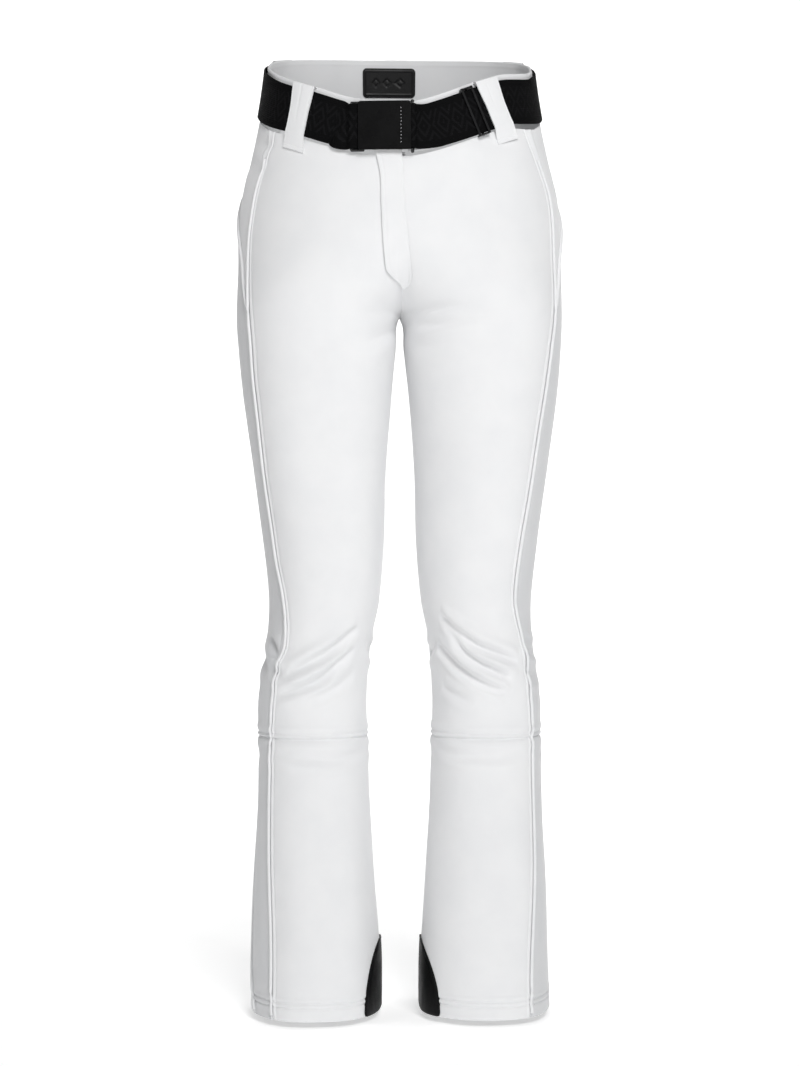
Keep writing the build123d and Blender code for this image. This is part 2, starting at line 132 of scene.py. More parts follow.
def curve(rows, z, column=1):
    """Smooth value of one column at the heights z."""
    t = np.array(rows, float)
    h, v = t[:, 0], t[:, column]
    slope = np.empty(len(h))
    slope[1:-1] = (v[2:] - v[:-2]) / (h[2:] - h[:-2])
    slope[0] = (v[1] - v[0]) / (h[1] - h[0])
    slope[-1] = (v[-1] - v[-2]) / (h[-1] - h[-2])
    z = np.clip(np.asarray(z, float), h[0], h[-1])
    i = np.clip(np.searchsorted(h, z, "right") - 1, 0, len(h) - 2)
    step = h[i + 1] - h[i]
    s = (z - h[i]) / step
    return (
        v[i] * (1 + 2 * s) * (1 - s) ** 2
        + slope[i] * step * s * (1 - s) ** 2
        + v[i + 1] * s * s * (3 - 2 * s)
        + slope[i + 1] * step * s * s * (s - 1)
    )


def leg_shape(z):
    """Centre and half sizes, across and deep, of the left leg's section."""
    inner, outer, front, back = (curve(LEG, z, k) for k in (1, 2, 3, 4))
    return (outer + inner) / 2, (front + back) / 2, (outer - inner) / 2, (back - front) / 2


def power(value, exponent):
    """Power that keeps the value's sign."""
    return np.sign(value) * np.abs(value) ** exponent


def oval(shape, angle, out=0.0):
    """Points on a section; angles run from the front towards the wearer's outer side."""
    cx, cy, ax, ay = shape
    a = np.radians(angle)
    x = cx + (ax + out) * power(np.sin(a), 2 / ROUND)
    y = cy - (ay + out) * power(np.cos(a), 2 / ROUND)
    return x, y


def angle_at_x(z, x):
    """Angle, on the front's inner half, at which the surface crosses a distance across."""
    cx, _, ax, _ = leg_shape(z)
    return np.degrees(np.arcsin(power(np.clip((x - cx) / ax, -1, 1), ROUND / 2)))


def inseam_front(z, _side):
    return angle_at_x(z, 0.0)


def inseam_back(z, _side):
    return 180 - angle_at_x(z, 0.0)


def zip_edge(z, side):
    """Behind the fly the wearer's right front panel stops short of the middle, and the left one
    passes it."""
    reach = 15.5 if side < 0 else -4.5
    return angle_at_x(z, reach * smooth((z + 212) / 9))


def front_seam(z, side):
    return curve(FRONT_SEAM[side], z)


def back_seam(z, side):
    return curve(BACK_SEAM[side], z)


def yoke_seam(z, side):
    front = front_seam(z, side)
    return np.where(np.asarray(z) < -275.5, front, np.maximum(curve(YOKE, z), front))


def smooth(t):
    """Eases from 0 to 1."""
    t = np.clip(t, 0, 1)
    return t * t * (3 - 2 * t)


def rim_height(x, y):
    """The waist's edge dips to the buckle in front and sits higher on the wearer's left."""
    front = smooth((15 - y) / 60)
    slope = 40.5 * y / RIM_DEPTH - 11.8 * (y / RIM_DEPTH) ** 2
    return slope + front * curve(RIM_DIP, np.clip(x, -148, 148), 1)


def hem_height(angle):
    near = np.abs((np.asarray(angle) + 180) % 360 - 180)
    return HEM - HEM_DIP / (1 + np.exp((near - 86) / 6))


def band_edge(x, y):
    return rim_height(x, y) - BAND - 0.4 - 2.6 * np.clip(1 - (y / RIM_DEPTH) ** 2, 0, 1)


# ------------------------------------------------------------------ folds, seams and puckers
# Creases pressed into the cloth: points as (angle, height), depth, width. Sides: 1 left, -1 right.
CREASES = {
    -1: [
        ([(30, -678), (10, -668), (-7, -656), (-30, -638), (-42, -630)], 3.4, 5.0),
        ([(40, -703), (20, -697), (2, -689), (-18, -670), (-41, -651)], 2.8, 4.5),
        ([(5, -711), (-20, -696), (-44, -676)], 1.4, 4.5),
        ([(70, -638), (58, -648), (47, -660)], 2.2, 4.5),
        ([(62, -668), (48, -676), (36, -680)], 1.4, 5.0),
        ([(50, -758), (25, -768), (0, -772), (-35, -772), (-78, -764)], 1.7, 5.0),
        ([(100, -660), (78, -668), (60, -684)], 1.8, 7.0),
        ([(-60, -640), (-80, -655), (-100, -660)], 2.0, 6.0),
        ([(75, -84), (66, -92), (60, -102)], 1.6, 6.0),
        ([(76, -108), (69, -118), (60, -126)], 1.2, 7.0),
        ([(-30, -318), (-55, -304), (-80, -296)], 1.6, 7.0),
        ([(10, -330), (-20, -316), (-48, -300)], 0.9, 10.0),
        ([(120, -640), (160, -652), (200, -640)], 3.0, 8.0),
        ([(115, -668), (160, -678), (215, -664)], 2.6, 8.0),
        ([(125, -606), (165, -616), (210, -604)], 1.8, 9.0),
        ([(150, -300), (185, -318), (225, -312)], 3.0, 10.0),
        ([(165, -340), (200, -350), (240, -330)], 1.8, 10.0),
    ],
    1: [
        ([(-48, -616), (-40, -622), (-21, -638), (-2, -651), (24, -663), (34, -666)], 3.2, 5.0),
        ([(-44, -632), (-35, -638), (-18, -658), (12, -680), (22, -684)], 2.8, 4.5),
        ([(-62, -648), (-54, -654), (-33, -671), (-16, -683), (4, -696), (14, -699)], 2.6, 4.5),
        ([(-56, -694), (-49, -698), (-28, -707), (-15, -710)], 1.3, 4.5),
        ([(44, -640), (60, -652), (84, -656)], 2.2, 6.0),
        ([(40, -676), (58, -682), (80, -676)], 1.4, 6.0),
        ([(-78, -756), (-45, -767), (-16, -770), (20, -768), (46, -760)], 1.7, 5.0),
        ([(-62, -640), (-80, -655), (-100, -660)], 2.0, 6.0),
        ([(-44, -276), (-22, -279), (-6, -276)], 1.3, 4.0),
        ([(-58, -292), (-36, -294), (-14, -288), (0, -286)], 1.6, 4.5),
        ([(-70, -312), (-45, -316), (-20, -308)], 0.9, 8.0),
        ([(120, -640), (160, -652), (200, -640)], 3.0, 8.0),
        ([(115, -668), (160, -678), (215, -664)], 2.6, 8.0),
        ([(125, -606), (165, -616), (210, -604)], 1.8, 9.0),
        ([(150, -300), (185, -318), (225, -312)], 3.0, 10.0),
        ([(165, -340), (200, -350), (240, -330)], 1.8, 10.0),
    ],
}
KNEE_SEAM = -752
MM_PER_DEGREE = 1.25  # of angle, near the knee
CREASE_GAIN = 1.75


def ridge(d, at, width):
    """A soft bump, 1 high, at a distance."""
    return np.exp(-(((d - at) / width) ** 2))


def crease(angle, z, points, depth, width):
    """A valley with soft banks along a line, fading out at both ends."""
    rows = [(k, a * MM_PER_DEGREE, h) for k, (a, h) in enumerate(points)]
    t = np.linspace(0, len(rows) - 1, 6 * (len(rows) - 1) + 1)
    line = np.stack([curve(rows, t, 1), curve(rows, t, 2)], 1)
    s, best, where = angle * MM_PER_DEGREE, np.full(z.shape, 1e9), np.zeros(z.shape)
    for k in range(len(line) - 1):
        a, b = line[k], line[k + 1]
        d = b - a
        u = np.clip(((s - a[0]) * d[0] + (z - a[1]) * d[1]) / (d @ d), 0, 1)
        away = np.hypot(s - a[0] - u * d[0], z - a[1] - u * d[1])
        nearer = away < best
        best = np.where(nearer, away, best)
        where = np.where(nearer, (k + u) / (len(line) - 1), where)
    fade = np.sin(np.clip(where, 0, 1) * pi) ** 0.7
    q = best / width
    return CREASE_GAIN * depth * fade * (-np.exp(-(q**1.6)) + 0.6 * ridge(q, 2.1, 1.2))


def hem_rows(up):
    """Two rows of stitching above the hem, with the cloth standing proud beside them."""
    out = 0.5 * ridge(up, 17.2, 1.6) + 0.5 * ridge(up, 23.5, 2.2)
    for row in (14.5, 20):
        out = out - 1.15 * ridge(up, row, 1.0)
    return out


def cloth_out(angle, z, side):
    """How far folds, seams and hem push the cloth out, in millimetres."""
    near = (angle + 90) % 360 - 90
    out = np.zeros(z.shape)
    for points, depth, width in CREASES[side]:
        out += crease(near, z, points, depth, width)
    s = np.radians(angle)
    phase = 0.7 if side > 0 else 2.9
    wave = (
        0.50 * np.sin(z / 61 + 2.0 * np.sin(s + phase) + phase)
        + 0.40 * np.sin(z / 33 + 3 * s + 2.2 * phase)
        + 0.30 * np.sin(z / 97 - 5 * s + phase)
        + 0.22 * np.sin(z / 21 - 4 * s + 1.3 * phase) * np.sin(z / 140 + phase)
    )
    calm = 1 - 0.7 * smooth((z + 300) / 120)
    out += wave * calm * 0.9
    # long soft drapes down the flared shin
    flare = smooth((KNEE_SEAM - 20 - z) / 160)
    out += flare * (0.9 * np.sin(3 * s + 1.4 * phase + z / 420) + 0.5 * np.sin(7 * s + phase + z / 300))
    # the seam round the leg below the knee: a raised fold above, a ditch, and puckers
    d = z - KNEE_SEAM
    out += -1.6 * ridge(d, 0, 1.4) + 0.85 * ridge(d, 2.6, 1.3) - 0.7 * ridge(d, 5.6, 1.0)
    out += 1.1 * ridge(d, 11, 4.5) + 1.2 * ridge(d, -8, 5) - ridge(d, -23, 7) * np.sin(s * 3.1 + phase)
    pucker = np.sin(s * 31 + 1.7 * np.sin(5 * s + phase)) * np.sin(s * 6.3 + phase)
    out += 0.35 * pucker * np.exp(-np.abs(d) / 9)
    # hem: two rows of stitching, puckers between them, and a rounded edge
    up = z - hem_height(angle)
    out += hem_rows(up) + 0.16 * np.sin(s * 46 + phase) * ridge(up, 16, 8)
    out += -0.9 * smooth((2.2 - up) / 2.2)
    return out


def surface(angle, z, side, out=0.0):
    """Points of the cloth's outer face in millimetres, for one side of the body."""
    def at(a, h):
        x, y = oval(leg_shape(h), a)
        return np.stack([x, y, h], -1)

    base = at(angle, z)
    along = at(angle + 0.4, z) - at(angle - 0.4, z)
    up = at(angle, z + 1.5) - at(angle, z - 1.5)
    normal = np.cross(along, up)
    normal /= np.linalg.norm(normal, axis=-1, keepdims=True) + 1e-9
    base = base + normal * (out + cloth_out(angle, z, side))[..., None]
    base[..., 0] *= side
    return base


# ------------------------------------------------------------------ mesh helpers
def mesh_object(name, verts_mm, faces, sharp=(), uv=None):
    """A smooth-shaded object, with some edges kept sharp."""
    mesh = bpy.data.meshes.new(name)
    mesh.from_pydata((np.asarray(verts_mm) * 0.001).tolist(), [], faces)
    mesh.validate()
    mesh.update()
    mesh.polygons.foreach_set("use_smooth", [True] * len(mesh.polygons))
    if len(sharp):
        keys = {frozenset(e) for e in sharp}
        for edge in mesh.edges:
            if frozenset(edge.vertices) in keys:
                edge.use_edge_sharp = True
    if uv is not None:
        layer = mesh.uv_layers.new(name="UVMap")
        loops = np.empty(len(mesh.loops), int)
        mesh.loops.foreach_get("vertex_index", loops)
        layer.data.foreach_set("uv", np.asarray(uv, float)[loops].ravel())
    obj = bpy.data.objects.new(name, mesh)
    scene.collection.objects.link(obj)
    return obj


def face_out(obj):
    """Turns every face of a closed mesh outwards."""
    b = bmesh.new()
    b.from_mesh(obj.data)
    bmesh.ops.recalc_face_normals(b, faces=b.faces)
    b.to_mesh(obj.data)
    b.free()
    return obj


def grid_normals(grid):
    du = np.gradient(grid, axis=1)
    dv = np.gradient(grid, axis=0)
    n = np.cross(du, dv)
    return n / (np.linalg.norm(n, axis=-1, keepdims=True) + 1e-9)


cuts = {}  # each cloth piece's flat size in metres: width, length and area


def note_cut(name, grid):
    """Flat size of a piece from its grid of points in millimetres."""
    g = np.asarray(grid, float) * 0.001
    width = np.linalg.norm(np.diff(g, axis=1), axis=-1).sum(1).max()
    length = np.linalg.norm(np.diff(g, axis=0), axis=-1).sum(0).max()
    p, q = g[1:, 1:] - g[:-1, :-1], g[1:, :-1] - g[:-1, 1:]
    area = np.linalg.norm(np.cross(p, q), axis=-1).sum() / 2
    cuts[name] = (width, length, min(max(area, 0.3 * width * length), width * length))


def shell(name, outer, inner):
    """A closed sheet between two grids of points, with sharp rims."""
    note_cut(name, outer)
    rows, cols, _ = outer.shape
    k = np.arange(rows * cols).reshape(rows, cols)
    n = rows * cols
    quads = np.stack([k[:-1, :-1], k[:-1, 1:], k[1:, 1:], k[1:, :-1]], -1).reshape(-1, 4)
    faces = quads.tolist() + (quads[:, ::-1] + n).tolist()
    sharp = []
    for line in (k[0, :], k[:, -1], k[-1, ::-1], k[::-1, 0]):
        for a, b in zip(line[:-1], line[1:]):
            faces.append([int(b), int(a), int(a + n), int(b + n)])
            sharp.append((int(a), int(b)))
            sharp.append((int(a + n), int(b + n)))
    points = np.concatenate([outer.reshape(-1, 3), inner.reshape(-1, 3)])
    return face_out(mesh_object(name, points, faces, sharp))


def sweep(name, rings, closed=False, uv=None):
    """A solid from a row of closed outlines with the same number of points. Closed, the last one
    joins the first; otherwise both ends are capped."""
    rings = np.asarray(rings, float)
    count, size, _ = rings.shape
    k = np.arange(count * size).reshape(count, size)
    faces = []
    for i in range(count if closed else count - 1):
        a, b = k[i], k[(i + 1) % count]
        faces += np.stack([a, b, np.roll(b, -1), np.roll(a, -1)], -1).tolist()
    sharp = []
    if not closed:
        faces += [k[0].tolist(), k[-1, ::-1].tolist()]
        for end in (k[0], k[-1]):
            sharp += [(int(a), int(b)) for a, b in zip(end, np.roll(end, -1))]
    if uv is not None:
        uv = uv.reshape(-1, 2)
    return face_out(mesh_object(name, rings.reshape(-1, 3), faces, sharp, uv))


def stations(length, fine, step):
    """Distances from 0 to a length, close together near both ends."""
    ends = [d for d in fine if d < length / 2 - 1]
    middle = np.linspace(ends[-1], length - ends[-1], max(2, int((length - 2 * ends[-1]) / step) + 1))
    return np.concatenate([ends[:-1], middle, [length - d for d in reversed(ends[:-1])]]) / length


# ------------------------------------------------------------------ cloth panels
# Distances from a seam at which a panel has columns.
EDGE = [0, 0.8, 1.6, 2.5, 3.4, 4.3, 5.2, 6.1, 7.0, 7.9, 9.0, 10.6]
CLOTH = 1.6


def seam_ditch(share, length, left, right):
    """Out-of-surface profile near a panel's piped side edges."""
    out = np.zeros_like(share)
    for piped, d in ((left, share * length), (right, (1 - share) * length)):
        if piped:
            out += 0.75 * ridge(d, 4.3, 1.3) - 1.5 * ridge(d, 0, 1.7) - 0.55 * ridge(d, 7.2, 0.9)
    return out


def panel(name, side, first, last, z_low, z_high, heights, reference, piped, step=4.0):
    """A sewn panel between two seams. z_low and z_high give its lower and upper edge from an angle,
    a distance across and a depth; heights are its rows as shares from the lower to the upper one."""
    a0, a1 = first(np.array(reference), side), last(np.array(reference), side)
    _, _, ax, ay = leg_shape(reference)
    length = float(abs(a1 - a0) * pi / 180 * (ax + ay) / 2)
    u = stations(length, EDGE, step)
    low = np.full(len(u), -600.0)
    high = np.full(len(u), -60.0)
    for _ in range(12):  # each edge's height depends on where it is on the leg
        for edge, height in ((low, z_low), (high, z_high)):
            a = first(edge, side) + u * (last(edge, side) - first(edge, side))
            x, y = oval(leg_shape(edge), a)
            edge[:] = height(a, x * side, y)
    z = low + (high - low) * heights[:, None]
    a = first(z, side) + u * (last(z, side) - first(z, side))
    outer = surface(a, z, side, seam_ditch(u * np.ones_like(z), length, *piped))
    return shell(name, outer, outer - grid_normals(outer) * side * CLOTH)


def spread(low, high, marks, step=4.0, fine=0.9, reach=7):
    """Row positions as shares of a height, closer together near some marks."""
    z, out = low, [low]
    while z < high - 0.5:
        near = min([abs(z - m) for m in marks] or [99])
        z += fine if near < reach else step
        out.append(min(z, high))
    out = np.array(out)
    out[-1] = high
    return (out - low) / (high - low)


SPLIT = -500
HIP_BEND = {"start": (0, 0, -0.215), "end": (0, 0, -0.425)}
KNEE_BEND = {"start": (0, 0, -0.56), "end": (0, 0, -0.752)}


def level(height):
    """A panel edge at one height."""
    return lambda a, x, y: np.full(np.shape(a), float(height))


def at_band(a, x, y):
    return band_edge(x, y)


def at_hem(a, x, y):
    return hem_height(a)


for side, word in ((1, "left"), (-1, "right")):
    parts = {
        "front": (inseam_front, front_seam, (False, True)),
        "side": (front_seam, back_seam, (True, True)),
        "back": (back_seam, inseam_back, (True, False)),
    }
    for place, (first, last, piped) in parts.items():
        top_first = zip_edge if place == "front" else first
        if place == "side":
            top_first = yoke_seam
        upper = panel(
            f"{place}_upper_panel_{word}", side, top_first, last, level(SPLIT), at_band,
            spread(SPLIT, -110, [-110]), SPLIT, piped,
        )
        lower = panel(
            f"{place}_knee_panel_{word}", side, first, last, level(KNEE_SEAM), level(SPLIT),
            spread(KNEE_SEAM, SPLIT, [KNEE_SEAM], 2.2, 0.8, 16), SPLIT, piped, 2.6,
        )
        shin = panel(
            f"{place}_lower_panel_{word}", side, first, last, at_hem, level(KNEE_SEAM),
            spread(-1060, KNEE_SEAM, [-1058, -1044, -1039, KNEE_SEAM], 4.0, 0.7), -900, piped, 3.2,
        )
        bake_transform(upper)
        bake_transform(lower)
        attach(shin, f"shin_{word}")
        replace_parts(upper, f"{place}_hip_panel_{word}", f"groin_sleeve_{word}")
        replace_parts(lower, f"{place}_thigh_panel_{word}", f"knee_sleeve_{word}")
        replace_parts(shin, f"{place}_shin_panel_{word}")
        for piece in (upper, lower, shin):
            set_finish(piece, "softshell_white")
    pocket = panel(
        f"pocket_panel_{word}", side, front_seam, yoke_seam, level(-272), at_band,
        spread(-272, -110, [-110]), -150, (True, True),
    )
    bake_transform(pocket)
    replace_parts(pocket, f"pocket_hip_panel_{word}")
    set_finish(pocket, "softshell_white")

# ------------------------------------------------------------------ piping
def cord_points(side, seam, low, high, out, step=5.0):
    z = np.linspace(low, high, max(3, int((high - low) / step) + 1))
    return surface(seam(z, side), z, side, out)


def tube(name, line, radius, size=10):
    """A round cord along points in millimetres."""
    line = np.asarray(line, float)
    t = np.gradient(line, axis=0)
    t /= np.linalg.norm(t, axis=1, keepdims=True)
    side_dir = np.cross(t, [0.0, 0.0, 1.0])
    flat = np.linalg.norm(side_dir, axis=1) < 0.05
    side_dir[flat] = np.cross(t[flat], [0.0, 1.0, 0.0])
    for i in range(1, len(side_dir)):
        if side_dir[i] @ side_dir[i - 1] < 0:
            side_dir[i] *= -1
    side_dir /= np.linalg.norm(side_dir, axis=1, keepdims=True)
    up = np.cross(side_dir, t)
    a = np.linspace(0, 2 * pi, size, endpoint=False)[:, None]
    return sweep(name, line[:, None] + radius * (np.cos(a) * side_dir[:, None] + np.sin(a) * up[:, None]))


CORD = 1.8  # radius of the piping, which stands half a cord proud
CORD_OUT = 0.9
for side, word in ((1, "left"), (-1, "right")):
    thigh, shin = f"thigh_{word}", f"shin_{word}"
    for low, high, tag, bodies, bend, node in (
        (SPLIT, -111, "upper", ("seat", thigh), HIP_BEND, f"hip_piping_{word}"),
        (KNEE_SEAM, SPLIT, "knee", (thigh, shin), KNEE_BEND, f"thigh_piping_{word}"),
        (-1054, KNEE_SEAM, "lower", None, None, f"shin_piping_{word}"),
    ):
        for seam_name, seam in (("front", front_seam), ("rear", back_seam)):
            line = cord_points(side, seam, low, high, CORD_OUT)
            cord = tube(f"{seam_name}_piping_{tag}_{word}", line, CORD)
            if bodies:
                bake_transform(cord)
            else:
                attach(cord, shin)
            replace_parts(cord, node)
            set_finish(cord, "softshell_white")
    cord = tube(f"yoke_piping_{word}", cord_points(side, yoke_seam, -276, -100, CORD_OUT), CORD)
    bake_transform(cord)
    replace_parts(cord, f"hip_piping_{word}")
    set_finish(cord, "softshell_white")


# ------------------------------------------------------------------ ankle pieces
def leg_ring(height, side, out, count=72):
    a = np.linspace(-90, 270, count, endpoint=False)
    z = np.full(count, float(height))
    x, y = oval(leg_shape(z), a, out)
    return np.stack([x * side, y, z], -1)


def open_tube(name, side, levels_out, thickness):
    """A cloth tube inside the leg: rows of (height, distance out), turned over at both ends."""
    outer = [leg_ring(z, side, o) for z, o in levels_out]
    note_cut(name, [np.vstack([ring, ring[:1]]) for ring in outer])
    inner = [leg_ring(z, side, o - thickness) for z, o in reversed(levels_out)]
    return sweep(name, outer + inner, closed=True)


GUARD_HEIGHT = 75.0
GUARD_REACH = 44  # degrees to either side of the inseam
GUARD_CORNER = 5  # height of the rounded lower corners
DEGREE_AT_HEM = 1.4  # millimetres round the leg


def scuff_guard(name, side):
    """A raised patch inside the ankle, arched at its top, with a welded border and a stitch line."""
    rows = np.concatenate([np.linspace(0, GUARD_CORNER, 8), np.linspace(7, 66, 30), np.linspace(67, 74, 9)])
    reach = GUARD_REACH * np.sqrt(np.clip(1 - (rows / GUARD_HEIGHT) ** 2.2, 0.004, 1))
    round_off = 1 - np.sqrt(np.clip(1 - (1 - rows / GUARD_CORNER) ** 2, 0, 1))
    reach -= 3.4 * round_off * (rows < GUARD_CORNER)
    rows, reach = rows[:, None], reach[:, None]
    cols = stations(80, [0, 0.7, 1.6, 2.6, 4.0], 2.6)
    lean = 1.0 if side > 0 else 0.0
    a = -90 + reach * (2 * cols - 1) + lean
    z = HEM + rows + (hem_height(a) - HEM) * (1 - rows / GUARD_HEIGHT)
    to_side = np.minimum(cols, 1 - cols) * 2 * reach * DEGREE_AT_HEM
    d = np.minimum(to_side, GUARD_HEIGHT - rows)
    rise = 1.5 * smooth(d / 1.4) - 0.55 * ridge(d, 3.2, 0.7) + 0.35 * ridge(d, 1.8, 0.8)
    outer = surface(a, z, side, rise + 0.6 - hem_rows(z - hem_height(a)))
    return shell(name, outer, surface(a, z, side, 0.35))


def gaiter_rows():
    """The inner gaiter, drawn in towards its lower edge, where the elastic ripples it."""
    for k in range(40):
        t = k / 39
        ripple = 0.7 * sin(k * 2.2) if t < 0.16 else 0
        yield -1041 + 200 * t, -17 + 13.5 * smooth(t * 1.05) + ripple


FACING_ROWS = [(-1053.5, -2.0), (-1052, -1.9), (-1040, -2.1), (-1031.6, -2.2), (-1031, -2.4)]
ELASTIC_ROWS = [
    (-1038, -14.9), (-1037, -14.2),
    *((-1036 + 2.0 * k, -14.1 + 0.35 * (k % 2) + 0.06 * k) for k in range(11)),
    (-1015, -13.5), (-1014, -14.2),
]
for side, word in ((1, "left"), (-1, "right")):
    for node, slot, rows, thickness in (
        ("scuff_guard", "guard_black", None, None),
        ("hem_facing", "softshell_white", FACING_ROWS, 1.0),
        ("snow_gaiter", "gaiter_white", list(gaiter_rows()), 0.9),
        ("gaiter_elastic", "gaiter_rubber", ELASTIC_ROWS, 1.3),
    ):
        name = f"{node}_{word}_piece"
        piece = open_tube(name, side, rows, thickness) if rows else scuff_guard(name, side)
        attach(piece, f"shin_{word}")
        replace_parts(piece, f"{node}_{word}")
        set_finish(piece, slot)


# ------------------------------------------------------------------ waistband and belt
def ring_point(theta, drop, out=0.0):
    """Points round the waist, a drop below its edge; 0 is the front and 90 the wearer's left."""
    theta, drop = np.broadcast_arrays(np.asarray(theta, float), np.asarray(drop, float))
    z = -drop
    for _ in range(8):  # the edge's height depends on where it is round the waist
        outer, front, back = (curve(LEG, z, k) for k in (2, 3, 4))
        x, y = oval((0, (front + back) / 2, outer, (back - front) / 2), theta, out)
        z = rim_height(x, y) - drop
    return np.stack([x, y, z], -1)


def ring_frame(theta, drop, out):
    """Origin, outward and upward directions of a band round the waist."""
    here = ring_point(theta, drop, out)
    along = ring_point(theta + 1.5, drop, out) - ring_point(theta - 1.5, drop, out)
    rise = ring_point(theta, drop - 20, out) - ring_point(theta, drop + 20, out)
    along /= np.linalg.norm(along, axis=-1, keepdims=True)
    outward = np.cross(along, rise)
    outward /= np.linalg.norm(outward, axis=-1, keepdims=True)
    return here, outward, np.cross(outward, along)


def rounded(width, height, radius, per_corner=4, per_side=10):
    """Outline of a flat rounded bar, as distances out and up."""
    points = []
    w, h = width / 2 - radius, height / 2 - radius
    for x, y, start in ((w, h, 0), (-w, h, 90), (-w, -h, 180), (w, -h, 270)):
        for k in range(per_corner + 1):
            a = radians(start + 90 * k / per_corner)
            points.append((x + radius * cos(a), y + radius * sin(a)))
        if start in (90, 270):
            face = -width / 2 if start == 90 else width / 2
            points += [(face, y - 2 * y * k / per_side) for k in range(1, per_side)]
    return np.array(points)


def band(name, theta, drop, out, outline, shape, height=None):
    """Sweeps an outline round part of the waist. shape pushes the outline out as it goes, and
    height is the share of its height left at each place."""
    here, outward, up = ring_frame(theta, drop, out)
    y = np.ones((len(theta), 1)) * outline[:, 1]
    if height is not None:
        y *= height(theta)[:, None]
    x = outline[:, 0] + shape(theta[:, None], y)
    rings = here[:, None] + outward[:, None] * x[..., None] + up[:, None] * y[..., None]
    steps = np.linalg.norm(np.diff(here, axis=0), axis=1)
    run = np.concatenate([[0], np.cumsum(steps)])
    uv = np.stack([np.broadcast_to(run[:, None], x.shape) * 0.001, y * 0.001], -1)
    across = float(np.ptp(outline[:, 1])) * 0.001
    cuts[name] = (across, run[-1] * 0.001, across * run[-1] * 0.001)
    return sweep(name, rings, uv=uv)


def band_puffs(theta, y):
    """Soft pull marks of the sewn waistband, its top edge stitch and lower seam."""
    pulls = 0.35 * np.sin(np.radians(theta) * 19) * np.exp(-np.abs(np.abs(y) - 27) / 6)
    return pulls - 0.45 * ridge(y, 22.5, 0.8) - 0.3 * ridge(y, -25.5, 0.9)


band_outline = rounded(3.0, BAND, 1.4, 4, 44)
for name, first, last, count in (
    ("waistband_front_left", 0.6, 89.6, 70),
    ("waistband_front_right", -0.6, -89.6, 70),
    ("waistband_back", 90.4, 269.6, 130),
):
    places = np.linspace(first, last, count)
    piece = band(name + "_piece", places, BAND / 2, -1.5, band_outline, band_puffs)
    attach(piece, "seat")
    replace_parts(piece, name)
    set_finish(piece, "softshell_white")

BELT_OUT = 2.9  # its middle plane outside the waistband's face
BELT_WIDTH = 50.0
ADJUSTER_AT = 26
BELT_FROM, BELT_TO = 10, 336
belt_outline = rounded(2.2, BELT_WIDTH, 0.9, 3, 40)


def belt_wave(theta, _y):
    """The belt's slight waves, calm under the adjuster."""
    return 0.25 * np.sin(np.radians(theta) * 7 + 0.5) * (1 - ridge(theta, ADJUSTER_AT, 9))


belt_places = np.linspace(BELT_FROM, BELT_TO, 240)
webbing = band("belt_webbing_piece", belt_places, BELT_DROP, BELT_OUT, belt_outline, belt_wave)
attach(webbing, "seat")
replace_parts(webbing, "belt_webbing")
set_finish(webbing, "belt_elastic")

# the buckle's own frame: leaning 6.6 degrees back, turned 3.9 degrees
lean = Matrix.Rotation(radians(-6.6), 4, "X") @ Matrix.Rotation(radians(-3.9), 4, "Z")
BUCKLE = Matrix.Translation((-24, -103.6, -83)) @ lean
BUCKLE_X, BUCKLE_FRONT, BUCKLE_UP = (
    np.array(BUCKLE.to_3x3() @ Vector(v)) for v in ((1, 0, 0), (0, -1, 0), (0, 0, 1))
)
FOLD = 2.85  # wire's centre to the middle of the folded webbing
TAIL = 14  # steps from the buckle to the waist
TAIL_PULL = 18


